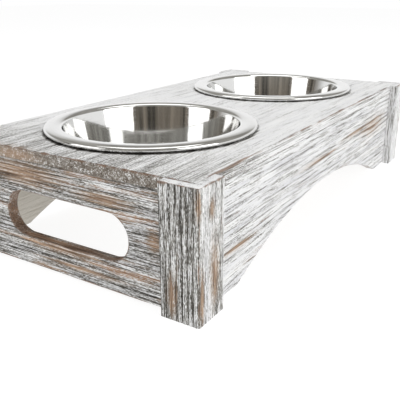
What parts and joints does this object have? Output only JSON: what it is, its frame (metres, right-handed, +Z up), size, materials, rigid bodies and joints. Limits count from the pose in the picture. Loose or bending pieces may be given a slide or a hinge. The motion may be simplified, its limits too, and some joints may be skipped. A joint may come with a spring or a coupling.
{
  "type": "pet bowl stand",
  "caption": "Low white-washed wooden pet feeding stand with arched sides, grip slots in its ends and L-shaped corner posts, holding lift-out polished steel bowls in round holes in its top.",
  "frame": {"origin": "on the floor under the middle of the stand", "axes": "+X along the length of the stand, +Y to its back, +Z up"},
  "size_m": [0.488, 0.256, 0.105],
  "materials": {
    "washed_wood": "wire-brushed softwood, stained dark in the grain and white-washed, matte",
    "bare_wood": "planed softwood, unfinished",
    "bowl_steel": "pressed stainless steel sheet, mirror polished",
    "screw_steel": "bright zinc plate"
  },
  "bodies": {
    "stand": {"top_board": "washed_wood", "end_panel_left": "washed_wood", "end_panel_right": "washed_wood", "side_apron_front": "washed_wood", "side_apron_back": "washed_wood", "corner_post_front_left": "washed_wood", "corner_post_front_right": "washed_wood", "corner_post_back_left": "washed_wood", "corner_post_back_right": "washed_wood", "top_cleat_front": "bare_wood", "top_cleat_back": "bare_wood", "corner_screws": "screw_steel", "cleat_side_screws": "screw_steel", "cleat_top_screws": "screw_steel"},
    "left_bowl": {"bowl_left": "bowl_steel"},
    "right_bowl": {"bowl_right": "bowl_steel"}
  },
  "joints": [
    {"name": "left_bowl_lift", "type": "slide", "parent": "stand", "child": "left_bowl", "axis": [0, 0, 1], "range_m": [0, 0.06]},
    {"name": "right_bowl_lift", "type": "slide", "parent": "stand", "child": "right_bowl", "axis": [0, 0, 1], "range_m": [0, 0.06]}
  ]
}
